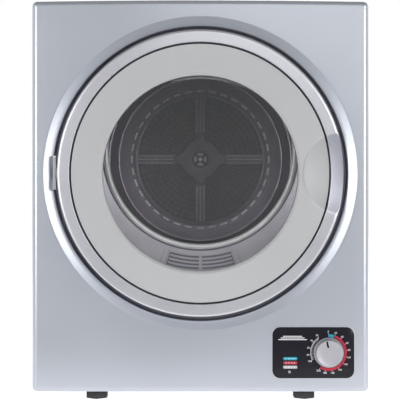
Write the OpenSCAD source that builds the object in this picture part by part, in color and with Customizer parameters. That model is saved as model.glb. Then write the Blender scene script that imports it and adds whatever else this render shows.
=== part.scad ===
// Compact vented tumble dryer: painted steel cabinet, round glazed door in a dished front,
// belt-driven drum, belt-driven fan, timer control and four screw feet.
// Front faces -Y, +Z is up, the floor is Z = 0, and the origin is under the middle of the dryer.

/* [Cabinet] */
// Width over the side walls
body_w = 495; // [490:1:510]
// Height of the cabinet without its feet
body_h = 576; // [572:1:590]
// Height of the feet when screwed fully in
foot_h = 14; // [12:1:18]
// Y of the flat front face
face_y = -190; // [-192:1:-188]
// Y of the outer face of the rear panel
rear_y = 176; // [175:1:178]
// Radius of the rounded front edges
edge_r = 8; // [6:1:10]
// Thickness of the cabinet and bulkhead sheets
sheet = 1; // [0.8:0.1:1.2]
// Thickness of the moulded front panel
panel_t = 2; // [1.8:0.1:2.4]

/* [Door] */
// Height of the door centre above the floor
door_z = 335; // [334:1:337]
// Outer radius of the door
door_r = 209.5; // [208:0.5:210]
// Radius of the clear window opening
window_r = 143.5; // [140:0.5:145]
// Radius of the parting line between the outer and inner rings
parting_r = 190; // [187:0.5:192]
// How far the door stands in front of the face
door_proud = 10; // [9:1:11]
// Radius of the finger scoop seen from the front
scoop_r = 60; // [50:1:62]
// Depth of the finger scoop
scoop_depth = 9; // [7:1:10]

/* [Dish] */
// Radius where the dish meets the flat front
dish_r = 230.5; // [228:0.5:232]
// Radius of the straight wall of the recess
recess_r = 217; // [216:0.5:218]
// Depth of the sloping part of the dish
slope_d = 6; // [5:1:14]
// Depth of the recess floor behind the face
recess_d = 24; // [24:1:26]
// Radius of the loading hole in the recess floor
loading_r = 152; // [151:0.5:153]

/* [Drum] */
// Height of the drum axis above the floor
drum_z = 368; // [366:1:370]
// Outer radius of the drum
drum_r = 208; // [204:1:210]
// Y of the drum's front wall
drum_front = -142; // [-142:1:-140]
// Y of the drum's rear shoulder
drum_back = 95; // [90:1:97]
// Radius of the drum mouth
mouth_r = 138; // [136:0.5:139]
// Number of lifters inside the drum
lifters = 3;

/* [Controls] */
// X of the timer knob
knob_x = 187.7; // [184:0.1:190]
// Height of the timer knob
knob_z = 72.7; // [70:0.1:75]
// Radius of the timer knob
knob_r = 21; // [18:0.5:22]
// Width of the control fascia
fascia_w = 120; // [112:1:124]
// Height of the control fascia
fascia_h = 75; // [70:1:78]

/* [Hidden] */
$fn = 96;
eps = 0.01;
base_z = foot_h;
top_z = foot_h + body_h;
half_w = body_w / 2;
run_gap = 0.4;              // clearance between parts that move past each other
floor_y = face_y + recess_d;          // front of the recess floor
floor_back = floor_y + panel_t;       // back of the recess floor
door_front = face_y - door_proud;
door_back = floor_y - 2;
flange_y = face_y + 28;               // rear edge of the front panel's flange
bulkhead_y = floor_back + 17;         // front bulkhead plate
funnel_t = 2;                         // thickness of the passage's sloping floor
drum_t = 1;                           // thickness of the drum's sheet
lip_tube = 4.2;                       // radius of the rolled drum lip
well_r = 158;                         // mouth of the dished centre of the drum's rear wall
well_floor_r = 145;
well_y = 118;                         // floor of the dished centre
filter_neck_r = 9;
rear_bulkhead_y = 126;
housing_back = 160;
rear_in = rear_y - sheet;             // inner face of the rear panel
rear_end = 205;                       // end of the exhaust spigot
fascia_x = 165.4;
fascia_z = 72.3;
hinge_x = -213.3;
hinge_y = face_y - 3;
hinge_half = 24;                      // half of the hinge's height
scoop_x = 207;
scoop_sphere = (pow(scoop_r, 2) + pow(scoop_depth, 2)) / (2 * scoop_depth);
motor_x = -150;
motor_z = 92;
motor_r = 50;
motor_front = 30;
motor_back = 118;
belt_y = 0;
belt_w = 12;
belt_t = 2;
drive_r = 8;                          // radius of the drum-drive pulley
fan_r = 105;
fan_pulley_r = 30;
fan_belt_y = 165;
spigot_x = 74;
spigot_z = 165;
spigot_r = 50;
gland_x = 170;
gland_z = 50;
foot_x = 155;
foot_front_y = face_y + 38;
foot_back_y = 135;
foot_af = 31;                         // across the flats of a hexagonal foot
switch_x = 190;
switch_z = 362;
strike_x = 190;
strike_z = 308;
grille_half = 18;                     // half angle of the air grille
grille_in = 155;
grille_out = 181;
slot_radii = [159, 165, 171, 177];
slot_half_w = 1.1;
mid_z = base_z + body_h / 2;
wall_hole_x = 200;
wall_hole_z = [90, 530];
wall_hole_r = 2.75;

// ---- shared shapes -------------------------------------------------------------------

// A solid of revolution about an axis along Y; its outline is given as [radius, y].
module revolve(x, z) {
  translate([x, 0, z]) rotate([-90, 0, 0]) rotate_extrude() children();
}

// A cylinder along Y from y0 to y1.
module rod(x, z, r, y0, y1) {
  translate([x, y0, z]) rotate([-90, 0, 0]) cylinder(r = r, h = y1 - y0);
}

// A tube along Y from y0 to y1.
module tube(x, z, r_out, r_in, y0, y1) {
  difference() {
    rod(x, z, r_out, y0, y1);
    rod(x, z, r_in, y0 - 1, y1 + 1);
  }
}

// A flat outline in X and Z, extruded along Y from y0 to y1.
module slab(y0, y1) {
  translate([0, y1, 0]) rotate([90, 0, 0]) linear_extrude(y1 - y0) children();
}

// A box given by its lowest and highest corners.
module box(low, high) {
  translate(low) cube([high[0] - low[0], high[1] - low[1], high[2] - low[2]]);
}

// A rectangle with round corners, centred.
module round_rect(w, h, r) {
  union() {
    square([w - 2 * r, h], center = true);
    square([w, h - 2 * r], center = true);
    for (sx = [-1, 1], sz = [-1, 1])
      translate([sx * (w / 2 - r), sz * (h / 2 - r)]) circle(r);
  }
}

// A block whose front edges and corners are rounded, with an open-ended straight back.
module pillow(inset) {
  w = body_w - 2 * inset;
  h = body_h - 2 * inset;
  r = edge_r - inset;
  front = face_y + inset;
  intersection() {
    translate([0, 0, mid_z]) slab(front, flange_y) round_rect(w, h, r);
    translate([0, 0, base_z]) linear_extrude(body_h)
      translate([0, front + h / 2]) round_rect(w, h, r);
    translate([-half_w, 0, mid_z]) rotate([90, 0, 90]) linear_extrude(body_w)
      translate([front + w / 2, 0]) round_rect(w, h, r);
  }
}

// A pie slice in the plane, pointing along -Y, with the given half angle.
module slice(half_angle, r) {
  polygon([[0, 0], [-r * sin(half_angle), -r * cos(half_angle)],
           [r * sin(half_angle), -r * cos(half_angle)]]);
}

// ---- cabinet -------------------------------------------------------------------------

// The cabinet's outline seen from the front, shrunk by inset, from y0 to y1.
module cabinet_block(inset, y0, y1) {
  translate([0, 0, mid_z]) slab(y0, y1)
    round_rect(body_w - 2 * inset, body_h - 2 * inset, edge_r - inset);
}

// The bent sheet all round the cabinet; the base pan takes its lowest edge_r.
module wrap() {
  difference() {
    cabinet_block(0, flange_y, rear_y);
    cabinet_block(sheet, flange_y - 1, rear_y + 1);
  }
}

module cabinet_shell() {
  color("lightsteelblue") difference() {
    wrap();
    box([-half_w - 1, flange_y - 1, 0], [half_w + 1, rear_y + 1, base_z + edge_r]);
  }
}

module dish_outline() {
  polygon([
    [dish_r + 3, face_y], [dish_r, face_y], [recess_r, face_y + slope_d],
    [recess_r, floor_y], [loading_r, floor_y], [loading_r, floor_back],
    [recess_r + panel_t, floor_back], [recess_r + panel_t, face_y + slope_d + 0.8],
    [dish_r + 0.8, face_y + panel_t], [dish_r + 3, face_y + panel_t]
  ]);
}

module front_panel() {
  color("lightsteelblue") difference() {
    union() {
      difference() {
        pillow(0);
        translate([0, eps, 0]) pillow(panel_t);
        box([-half_w, flange_y - eps, 0], [half_w, flange_y + 1, top_z]);
        rod(0, door_z, dish_r + 1, face_y - 1, face_y + panel_t + 1);
      }
      revolve(0, door_z) dish_outline();
    }
    rod(knob_x, knob_z, 5, face_y - 1, face_y + panel_t + 1);
    rod(switch_x, switch_z, 3.2, floor_y - 1, floor_back + 1);
    box([strike_x - 9, floor_y - 1, strike_z - 10], [strike_x + 9, floor_back + 1, strike_z + 10]);
  }
}

module rear_panel() {
  color("silver") difference() {
    cabinet_block(sheet + 0.2, rear_in, rear_y);
    rod(spigot_x, spigot_z, spigot_r - 1, rear_in - 1, rear_y + 1);
    rod(gland_x, gland_z, 8, rear_in - 1, rear_y + 1);
    for (sx = [-1, 1], z = wall_hole_z)
      rod(sx * wall_hole_x, z, wall_hole_r, rear_in - 1, rear_y + 1);
    for (i = [0 : 9])
      box([-210, rear_in - 1, 190 + 12 * i], [-150, rear_y + 1, 194 + 12 * i]);
  }
}

module base_pan() {
  color("gray") difference() {
    intersection() {
      wrap();
      box([-half_w - 1, flange_y, 0], [half_w + 1, rear_y, base_z + edge_r]);
    }
    for (sx = [-1, 1], y = [foot_front_y, foot_back_y])
      translate([sx * foot_x, y, base_z - 1]) cylinder(r = 4.4, h = 4);
    for (i = [0 : 7])
      box([-20 + 14 * i, -20, base_z - 1], [-14 + 14 * i, 90, base_z + 4]);
  }
}

module front_bulkhead() {
  color("silver") difference() {
    cabinet_block(sheet + 0.2, bulkhead_y, bulkhead_y + sheet);
    box([-half_w, bulkhead_y - 1, 0], [half_w, bulkhead_y + 3, 150]);
    rod(0, drum_z, mouth_r + 11, bulkhead_y - 1, bulkhead_y + sheet + 1);
  }
}

// Outline of the passage from the loading hole to the drum mouth, which sits higher.
module passage_outline(grow) {
  for (z = [door_z, drum_z])
    translate([0, z]) circle(loading_r + grow);
}

// The sloping floor of the passage, a cone about the drum's axis.
module funnel_cone() {
  lip_r = mouth_r + 11;
  low_r = loading_r + drum_z - door_z;
  intersection() {
    revolve(0, drum_z) polygon([[lip_r, bulkhead_y], [lip_r, bulkhead_y - funnel_t], [low_r, floor_back],
                                [low_r + funnel_t, floor_back], [low_r + funnel_t, floor_back + funnel_t / 2]]);
    rod(0, door_z, loading_r + 1, floor_back - 1, bulkhead_y + 1);
  }
}

module grille_outline(margin) {
  intersection() {
    difference() {
      circle(grille_out + margin);
      circle(grille_in - margin);
    }
    translate([0, margin]) slice(grille_half, 260);
  }
}

module door_funnel() {
  color("slategray") difference() {
    union() {
      difference() {
        slab(floor_back, bulkhead_y) passage_outline(2);
        slab(floor_back - 1, bulkhead_y + 1) passage_outline(0);
        box([-60, floor_back + 2, 160], [60, bulkhead_y - 1, 200]);
      }
      funnel_cone();
    }
    translate([0, 0, drum_z]) slab(floor_back - 1, bulkhead_y + 1) grille_outline(0);
  }
}

module grille_slots() {
  for (r = slot_radii)
    difference() {
      intersection() {
        difference() {
          circle(r + slot_half_w);
          circle(r - slot_half_w);
        }
        slice(grille_half - 2.5, 220);
      }
      square([3.6, 500], center = true);
    }
}

module air_grille() {
  color("dimgray") difference() {
    intersection() {
      funnel_cone();
      translate([0, 0, drum_z]) slab(floor_back - 1, bulkhead_y + 1) grille_outline(-0.3);
    }
    translate([0, 0, drum_z]) slab(floor_back - 1, bulkhead_y + 1) grille_slots();
  }
}

module drum_front_felt() {
  color("gainsboro") tube(0, drum_z, 178, 160, bulkhead_y + sheet, drum_front - run_gap);
}

module heater_duct() {
  neck_y = bulkhead_y - 1;
  color("lightgray") difference() {
    union() {
      box([-78, flange_y - 1, 46], [78, -40, 148]);
      box([-68, floor_back + 0.5, 146], [68, neck_y, 225]);
    }
    box([-76.5, flange_y + 0.5, 47.5], [76.5, -39, 146.5]);
    box([-66.5, floor_back + 2, 140], [66.5, neck_y - 1.5, 230]);
    rod(0, door_z, loading_r + 2.2, floor_back - 1, bulkhead_y + 1);
  }
}

module heater_element() {
  color("tan") union() {
    box([-70, -110, 60], [70, -92, 64]);
    box([-70, -110, 132], [70, -92, 136]);
    for (i = [0 : 5])
      box([-64 + 24 * i, -109, 63], [-56 + 24 * i, -93, 133]);
  }
}

module thermostats() {
  color("black") for (x = [-30, 20])
    union() {
      translate([x, -70, 148]) cylinder(r = 8, h = 4);
      translate([x, -70, 151]) cylinder(r = 5, h = 4);
    }
}

module rear_bulkhead() {
  color("silver") difference() {
    union() {
      difference() {
        cabinet_block(sheet + 0.2, rear_bulkhead_y, rear_bulkhead_y + sheet);
        rod(0, drum_z, 92, rear_bulkhead_y - 1, rear_bulkhead_y + 3);
      }
      for (a = [0, 45, 90, 135])
        translate([0, 0, drum_z]) rotate([0, a, 0])
          box([-95, rear_bulkhead_y, -7], [95, rear_bulkhead_y + sheet, 7]);
      rod(0, drum_z, 22, rear_bulkhead_y - 1, rear_bulkhead_y + 6);
    }
    rod(0, drum_z, 16, rear_bulkhead_y - 5, rear_bulkhead_y + 10);
    rod(motor_x, motor_z, 12, rear_bulkhead_y - 1, rear_bulkhead_y + 3);
  }
}

module drum_rear_felt() {
  color("gainsboro") tube(0, drum_z, 142, 128, well_y + sheet + run_gap, rear_bulkhead_y);
}

// Outline of the fan housing in the plane: a round scroll with a duct down to the outlet.
module scroll(grow) {
  union() {
    translate([0, drum_z]) circle(122 + grow);
    translate([18 - grow, spigot_z - 56 - grow])
      square([104 + 2 * grow, drum_z - spigot_z + 56 + grow]);
  }
}

module fan_housing() {
  color("whitesmoke") difference() {
    slab(rear_bulkhead_y + sheet, housing_back) scroll(1.5);
    slab(rear_bulkhead_y, housing_back - 1.5) scroll(0);
    rod(0, drum_z, 17, housing_back - 5, housing_back + 5);
    rod(spigot_x, spigot_z, 48, housing_back - 5, housing_back + 5);
  }
}

module exhaust_spigot() {
  color("whitesmoke") union() {
    tube(spigot_x, spigot_z, spigot_r, 48, rear_y + 1, rear_end);
    tube(spigot_x, spigot_z, spigot_r + 8, 48, rear_y, rear_y + 2);
    tube(spigot_x, spigot_z, spigot_r - 1.2, 48, housing_back, rear_y + 1);
  }
}

module drum_bearing() {
  color("gray") tube(0, drum_z, 16, 7.05, rear_bulkhead_y - 1, rear_bulkhead_y + 6);
}

module fan_axle() {
  color("silver") union() {
    rod(0, drum_z, 6, 138, rear_in);
    rod(0, drum_z, 20, rear_in - 2, rear_in);
  }
}

module motor_bracket() {
  color("silver") difference() {
    union() {
      box([motor_x - 60, motor_front - 6, base_z + sheet], [motor_x + 60, motor_back + 4, base_z + sheet + 2]);
      for (y = [motor_front - 2, motor_back])
        box([motor_x - 46, y, base_z + sheet], [motor_x + 46, y + 2, motor_z + 20]);
    }
    rod(motor_x, motor_z, 11, motor_front - 10, motor_back + 10);
  }
}

module motor_body() {
  color("gray") difference() {
    union() {
      rod(motor_x, motor_z, motor_r, motor_front, motor_front + 28);
      rod(motor_x, motor_z, motor_r - 4, motor_front + 28, motor_back - 28);
      rod(motor_x, motor_z, motor_r, motor_back - 28, motor_back);
    }
    rod(motor_x, motor_z, 6.1, motor_front - 1, motor_back + 1);
  }
}

module motor_capacitor() {
  color("white") union() {
    translate([-60, 95, base_z + sheet]) cylinder(r = 17, h = 62);
    translate([-60, 95, base_z + sheet + 62]) cylinder(r = 6, h = 6);
  }
}

// A belt round two pulleys in a plane across Y: radius and centre of each, then its Y range.
module belt(r1, c1, r2, c2, y, w, t) {
  difference() {
    slab(y - w / 2, y + w / 2) hull() {
      translate(c1) circle(r1 + t, $fn = 128);
      translate(c2) circle(r2 + t, $fn = 64);
    }
    slab(y - w, y + w) hull() {
      translate(c1) circle(r1, $fn = 128);
      translate(c2) circle(r2, $fn = 64);
    }
  }
}

module drum_belt() {
  color("black") belt(drum_r + 0.3, [0, drum_z], drive_r + 0.3, [motor_x, motor_z], belt_y, belt_w, belt_t);
}

module fan_belt() {
  color("black") belt(fan_pulley_r - 3.7, [0, drum_z], fan_pulley_r - 3.7, [motor_x, motor_z], fan_belt_y, 4, 3);
}

// ---- controls and wiring -------------------------------------------------------------

module control_fascia() {
  color("black") difference() {
    translate([fascia_x, 0, fascia_z]) slab(face_y - 1.2, face_y) round_rect(fascia_w, fascia_h, 11);
    rod(knob_x, knob_z, 4.5, face_y - 3, face_y + 1);
  }
}

module timer_body() {
  color("ivory") difference() {
    union() {
      box([knob_x - 25, face_y + panel_t + 4, knob_z - 24], [knob_x + 25, -148, knob_z + 24]);
      rod(knob_x, knob_z, 12, face_y + panel_t + 0.3, face_y + panel_t + 5);
    }
    rod(knob_x, knob_z, 3.06, face_y, -140);
  }
}

module timer_shaft() {
  color("silver") rod(knob_x, knob_z, 3, face_y - 8, -165);
}

module timer_knob() {
  color("gainsboro") difference() {
    union() {
      rod(knob_x, knob_z, knob_r + 1, face_y - 4, face_y - 1.8);
      translate([knob_x, face_y - 4, knob_z]) rotate([90, 0, 0]) cylinder(r1 = knob_r, r2 = knob_r - 1.5, h = 11);
    }
    rod(knob_x, knob_z, 3, face_y - 8, face_y);
    for (i = [0 : 35])
      translate([knob_x, 0, knob_z]) rotate([0, 10 * i, 0])
        rod(0, knob_r + 0.4, 0.8, face_y - 13, face_y - 4);
  }
}

module door_switch() {
  color("dimgray") difference() {
    box([switch_x - 9, floor_back, switch_z - 14], [switch_x + 9, bulkhead_y - 1, switch_z + 14]);
    rod(switch_x, switch_z, 2.9, floor_back - 1, bulkhead_y - 3);
  }
}

module switch_plunger() {
  color("red") rod(switch_x, switch_z, 2.5, door_back + 0.5, bulkhead_y - 7);
}

module door_catch() {
  color("dimgray") difference() {
    box([strike_x - 12, floor_back, strike_z - 14], [strike_x + 12, bulkhead_y - 1, strike_z + 20]);
    box([strike_x - 8, floor_back - 1, strike_z - 9], [strike_x + 8, bulkhead_y - 3, strike_z + 9]);
    box([strike_x - 5.4, floor_back + 3, strike_z], [strike_x + 5.4, bulkhead_y - 3.6, strike_z + 17]);
  }
}

// The sprung pawl that presses on the strike from above.
module catch_pawl() {
  color("ivory") difference() {
    box([strike_x - 5, floor_back + 3.4, strike_z + 5.4], [strike_x + 5, bulkhead_y - 4, strike_z + 13.5]);
    translate([strike_x, floor_back + 8, strike_z + 9]) cylinder(r = 2.4, h = 10);
  }
}

module hinge_bracket() {
  color("dimgray") difference() {
    union() {
      for (s = [-1, 1])
        union() {
          translate([hinge_x, hinge_y, door_z + s * (hinge_half - 8) - 8]) cylinder(r = 3.2, h = 16);
          box([hinge_x - 2.2, hinge_y, door_z + s * (hinge_half - 8) - 8],
              [hinge_x - 0.7, floor_y, door_z + s * (hinge_half - 8) + 8]);
        }
      box([hinge_x - 2.2, floor_y - 1.5, door_z - hinge_half], [hinge_x + 23, floor_y, door_z + hinge_half]);
    }
    translate([hinge_x, hinge_y, door_z - 50]) cylinder(r = 1.5, h = 100);
  }
}

module hinge_pin() {
  color("silver") union() {
    translate([hinge_x, hinge_y, door_z - hinge_half]) cylinder(r = 1.5, h = 2 * hinge_half);
    translate([hinge_x, hinge_y, door_z + hinge_half]) cylinder(r = 2.6, h = 1.2);
  }
}

module terminal_block() {
  color("ivory") difference() {
    box([150, 95, base_z + sheet], [215, 120, base_z + sheet + 22]);
    for (i = [0 : 4])
      translate([158 + 12 * i, 107, base_z + sheet + 8]) cylinder(r = 3, h = 20);
  }
}

module cord_gland() {
  color("black") difference() {
    union() {
      rod(gland_x, gland_z, 7.9, rear_in - 6, rear_y + 6);
      rod(gland_x, gland_z, 12, rear_y, rear_y + 3);
      rod(gland_x, gland_z, 11, rear_in - 3, rear_in);
    }
    rod(gland_x, gland_z, 3.75, rear_in - 10, rear_y + 10);
  }
}

// Points of the main loom from the timer back to the terminal block.
loom_path = [[175, -148, 62], [175, -135, 62], [180, -110, 52], [190, -80, 36], [196, -40, 28],
             [198, 0, 26], [196, 40, 26], [190, 70, 26], [185, 92, 26]];
loom_r = 5;
loom_sides = 10;

function unit(v) = v / norm(v);
function path_dir(p, i) = unit(p[min(i + 1, len(p) - 1)] - p[max(i - 1, 0)]);
function ring_points(p, d, r, n) =
  let (side = unit(cross(d, [0, 0, 1])), up = cross(side, d))
  [for (k = [0 : n - 1]) p + r * (cos(360 * k / n) * side + sin(360 * k / n) * up)];

// A tube that follows a list of points.
module sweep_tube(path, r, n) {
  rings = [for (i = [0 : len(path) - 1]) each ring_points(path[i], path_dir(path, i), r, n)];
  last = (len(path) - 1) * n;
  sides = [for (i = [0 : len(path) - 2], k = [0 : n - 1])
    each [[i * n + k, i * n + (k + 1) % n, (i + 1) * n + k],
          [i * n + (k + 1) % n, (i + 1) * n + (k + 1) % n, (i + 1) * n + k]]];
  ends = [[for (k = [n - 1 : -1 : 0]) k], [for (k = [0 : n - 1]) last + k]];
  polyhedron(points = rings, faces = concat(sides, ends));
}

module wiring_harness() {
  color("black") sweep_tube(loom_path, loom_r, loom_sides);
}

module rear_panel_screws() {
  color("silver") for (sx = [-1, 1], z = [30, 210, 400, 575])
    rod(sx * (half_w - 10), z, 3.5, rear_y, rear_y + 1.8);
}

// ---- door ----------------------------------------------------------------------------

// The shallow spherical hollow for the fingers at the door's free edge, starting at front_y
// and grown by wall.
module finger_scoop(front_y, wall) {
  translate([scoop_x, front_y + scoop_depth - scoop_sphere, door_z])
    sphere(r = scoop_sphere + wall, $fn = 160);
}

module hinge_notch() {
  box([-door_r - 5, hinge_y - 2.5, door_z - 9], [-door_r + 6, hinge_y + 4, door_z + 9]);
}

module door_outer_ring() {
  edge = 4;
  color("lightsteelblue") difference() {
    revolve(0, door_z) union() {
      polygon([[parting_r + 1.3, door_front + 1], [parting_r + 2.3, door_front], [door_r - edge, door_front],
               [door_r - edge, door_front + edge], [door_r, door_front + edge], [door_r, door_back],
               [door_r - 2.9, door_back], [door_r - 2.9, door_back - 3.2],
               [parting_r + 1.3, door_back - 3.2]]);
      translate([door_r - edge, door_front + edge]) circle(edge);
    }
    // The moulding is hollow behind its skin, which stays whole behind the finger scoop.
    difference() {
      revolve(0, door_z) polygon([[parting_r + 4, door_front + 5], [door_r - 3, door_front + 5],
                                  [door_r - 3, door_back + 2], [parting_r + 4, door_back + 2]]);
      finger_scoop(door_front, 3);
      box([-door_r - 5, hinge_y - 5, door_z - 12], [-door_r + 10, hinge_y + 7, door_z + 12]);
    }
    finger_scoop(door_front, 0);
    hinge_notch();
  }
}

module door_inner_ring() {
  scoop_front = door_front + 2.5;
  color("gainsboro") difference() {
    revolve(0, door_z) polygon([
      [parting_r - 1.3, door_front + 2.5], [parting_r - 2.3, door_front + 1.5],
      [window_r + 3, door_front + 4], [window_r + 0.8, door_front + 4.8], [window_r, door_front + 7],
      [window_r, door_front + 14], [parting_r - 1.3, door_front + 14]
    ]);
    difference() {
      revolve(0, door_z) polygon([[window_r + 4, door_front + 7], [parting_r - 4, door_front + 5],
                                  [parting_r - 4, door_front + 15], [window_r + 4, door_front + 15]]);
      finger_scoop(scoop_front, 2.5);
    }
    finger_scoop(scoop_front, 0);
  }
}

module door_window() {
  color("white", 0.3) rod(0, door_z, window_r + 6, door_front + 14, door_front + 17);
}

module door_frame() {
  color("dimgray") revolve(0, door_z) polygon([
    [window_r + 1, door_front + 17], [window_r + 1, door_back], [door_r - 3.2, door_back],
    [door_r - 3.2, door_back - 3], [parting_r + 1.1, door_back - 3], [parting_r + 1.1, door_front + 15],
    [parting_r - 1.1, door_front + 15], [parting_r - 1.1, door_back - 3],
    [window_r + 9, door_back - 3], [window_r + 9, door_front + 14], [window_r + 6.1, door_front + 14],
    [window_r + 6.1, door_front + 17]
  ]);
}

module door_seal() {
  color("darkgray") revolve(0, door_z) polygon([
    [loading_r + 3, door_back], [loading_r + 5, floor_y - run_gap], [loading_r + 8, floor_y - run_gap],
    [loading_r + 14, door_back]
  ]);
}

module hinge_leaf() {
  color("dimgray") difference() {
    union() {
      translate([hinge_x, hinge_y, door_z - 7.7]) cylinder(r = 3, h = 15.4);
      box([hinge_x, hinge_y - 1.5, door_z - 7.7], [-door_r + 6, hinge_y + 1.5, door_z + 7.7]);
    }
    translate([hinge_x, hinge_y, door_z - 50]) cylinder(r = 1.56, h = 100);
  }
}

module latch_strike() {
  color("dimgray") union() {
    box([strike_x - 3, door_back, strike_z - 5], [strike_x + 3, floor_back + 9, strike_z + 5]);
    translate([strike_x - 3, floor_back + 9, strike_z]) rotate([0, 90, 0]) cylinder(r = 5, h = 6);
  }
}

module door_screws() {
  color("silver") for (i = [0 : 7])
    translate([0, 0, door_z]) rotate([0, 22.5 + 45 * i, 0])
      rod(175, 0, 3.2, door_back, door_back + 1.2);
}

// ---- drum ----------------------------------------------------------------------------

module drum_shell() {
  color("silver") revolve(0, drum_z)
    polygon([[drum_r, drum_front], [drum_r, drum_back], [drum_r - drum_t, drum_back],
             [drum_r - drum_t, drum_front]]);
}

// The drum's flat front with its short neck and rolled lip.
module drum_front_wall() {
  lip_y = drum_front - 7;
  neck_r = mouth_r + lip_tube;
  color("silver") revolve(0, drum_z) union() {
    translate([neck_r, lip_y]) circle(lip_tube);
    polygon([[neck_r - 0.8, lip_y], [neck_r + 0.8, lip_y], [neck_r + 0.8, drum_front],
             [drum_r - drum_t, drum_front], [drum_r - drum_t, drum_front + drum_t],
             [neck_r - 0.8, drum_front + drum_t]]);
  }
}

module drum_rear_wall() {
  t = sheet;
  color("silver") difference() {
    revolve(0, drum_z) polygon([
      [40, well_y], [well_floor_r, well_y], [well_r, drum_back], [drum_r, drum_back],
      [drum_r, drum_back + t], [well_r + 1, drum_back + t], [well_floor_r + 1.2, well_y + t], [40, well_y + t]
    ]);
    for (i = [0 : 35])
      translate([0, 0, drum_z]) rotate([0, 10 * i, 0])
        box([-6.5, well_y - 1, 120], [6.5, well_y + 4, 123]);
    for (i = [0 : 7])
      translate([0, 0, drum_z]) rotate([0, 45 * i, 0])
        box([-12, well_y - 1, 55], [12, well_y + 4, 105]);
  }
}

module drum_lifter(i) {
  color("gray") translate([0, 0, drum_z]) rotate([0, 60 + 360 / lifters * i, 0])
    translate([0, drum_front + 12, 0]) rotate([-90, 0, 0])
      linear_extrude(drum_back - drum_front - 24) difference() {
        polygon([[-26, -204.5], [26, -204.5], [9, -170], [-9, -170]]);
        polygon([[-22, -205], [22, -205], [7, -172.5], [-7, -172.5]]);
      }
}

module drum_shaft() {
  color("silver") union() {
    rod(0, drum_z, 7, well_y, 134);
    rod(0, drum_z, 40, well_y, well_y + sheet);
    rod(0, drum_z, 22, well_y + sheet, well_y + 5);
  }
}

module filter_cover() {
  color("dimgray") difference() {
    union() {
      tube(0, drum_z, 117, 111, well_y - 6, well_y - 1);
      tube(0, drum_z, 85, 82, well_y - 5, well_y - 2);
      rod(0, drum_z, 36, well_y - 5, well_y - 2);
      for (i = [0 : 11])
        translate([0, 0, drum_z]) rotate([0, 15 * i, 0])
          box([-1, well_y - 5, -113], [1, well_y - 2, 113]);
    }
    rod(0, drum_z, filter_neck_r + 0.06, well_y - 10, well_y + 1);
  }
}

module filter_screen() {
  color("lightgray") tube(0, drum_z, 116, 15, well_y - 1, well_y - 0.4);
}

// The quarter-turn knob that holds the filter cover; two lugs lock behind the cover.
module filter_knob() {
  color("black") difference() {
    union() {
      rod(0, drum_z, 14.4, well_y - 9, well_y - 5.4);
      rod(0, drum_z, filter_neck_r, well_y - 6, well_y - 0.5);
      box([-13, well_y - 1.7, drum_z - 3], [13, well_y - 0.5, drum_z + 3]);
    }
    for (i = [0 : 3])
      translate([0, 0, drum_z]) rotate([0, 90 * i, 0])
        box([-4, well_y - 10, 6], [4, well_y - 7, 12]);
  }
}

// ---- drive ---------------------------------------------------------------------------

module motor_rotor() {
  pulley_y = fan_belt_y;
  color("silver") union() {
    rod(motor_x, motor_z, 6, belt_y - 12, pulley_y + 5);
    rod(motor_x, motor_z, drive_r, belt_y - 9, belt_y + 9);
    tube(motor_x, motor_z, 11, drive_r - 1, belt_y + 8, belt_y + 9);
    tube(motor_x, motor_z, 11, drive_r - 1, belt_y - 9, belt_y - 8);
    rod(motor_x, motor_z, fan_pulley_r - 4, pulley_y - 4, pulley_y + 4);
    tube(motor_x, motor_z, fan_pulley_r, 20, pulley_y - 4, pulley_y - 2.5);
    tube(motor_x, motor_z, fan_pulley_r, 20, pulley_y + 2.5, pulley_y + 4);
  }
}

module fan_impeller() {
  blades = 16;
  color("whitesmoke") difference() {
    union() {
      rod(0, drum_z, fan_r, 153, 154.5);
      rod(0, drum_z, 13, 140, fan_belt_y + 4);
      tube(0, drum_z, fan_r, 92, 131.5, 133);
      rod(0, drum_z, fan_pulley_r - 4, fan_belt_y - 3.5, fan_belt_y + 4);
      tube(0, drum_z, fan_pulley_r, 20, fan_belt_y - 4, fan_belt_y - 2.5);
      tube(0, drum_z, fan_pulley_r, 20, fan_belt_y + 2.5, fan_belt_y + 4);
      for (i = [0 : blades - 1])
        translate([0, 0, drum_z]) rotate([0, 360 / blades * i, 0]) translate([0, 0, 80])
          rotate([0, 32, 0]) box([-1, 132, -24], [1, 154, 24]);
    }
    rod(0, drum_z, 6.06, 139, 175);
  }
}

// ---- feet ----------------------------------------------------------------------------

module foot(x, y) {
  color("black") translate([x, y, 0]) union() {
    rotate([0, 0, 30]) cylinder(r = foot_af / sqrt(3), h = 11, $fn = 6);
    cylinder(r = 9, h = foot_h - 0.3);
    cylinder(r = 4, h = foot_h + 24);
  }
}

cabinet_shell();
front_panel();
rear_panel();
base_pan();
front_bulkhead();
door_funnel();
air_grille();
drum_front_felt();
heater_duct();
heater_element();
thermostats();
rear_bulkhead();
drum_rear_felt();
fan_housing();
exhaust_spigot();
drum_bearing();
fan_axle();
motor_bracket();
motor_body();
motor_capacitor();
drum_belt();
fan_belt();
control_fascia();
timer_body();
door_switch();
door_catch();
catch_pawl();
hinge_bracket();
hinge_pin();
terminal_block();
cord_gland();
wiring_harness();
rear_panel_screws();
door_outer_ring();
door_inner_ring();
door_window();
door_frame();
door_seal();
hinge_leaf();
latch_strike();
door_screws();
drum_shell();
drum_front_wall();
drum_rear_wall();
drum_lifter(0);  // drum_lifter_1
drum_lifter(1);  // drum_lifter_2
drum_lifter(2);  // drum_lifter_3
drum_shaft();
filter_cover();
filter_screen();
filter_knob();
motor_rotor();
fan_impeller();
timer_knob();
timer_shaft();
switch_plunger();
foot(-foot_x, foot_front_y);  // foot_front_left
foot(foot_x, foot_front_y);  // foot_front_right
foot(-foot_x, foot_back_y);  // foot_rear_left
foot(foot_x, foot_back_y);  // foot_rear_right
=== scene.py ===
"""Compact vented tumble dryer: the visible surfaces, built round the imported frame.

Sizes in this file are in millimetres; mesh() turns them into metres.
"""
import math

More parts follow.
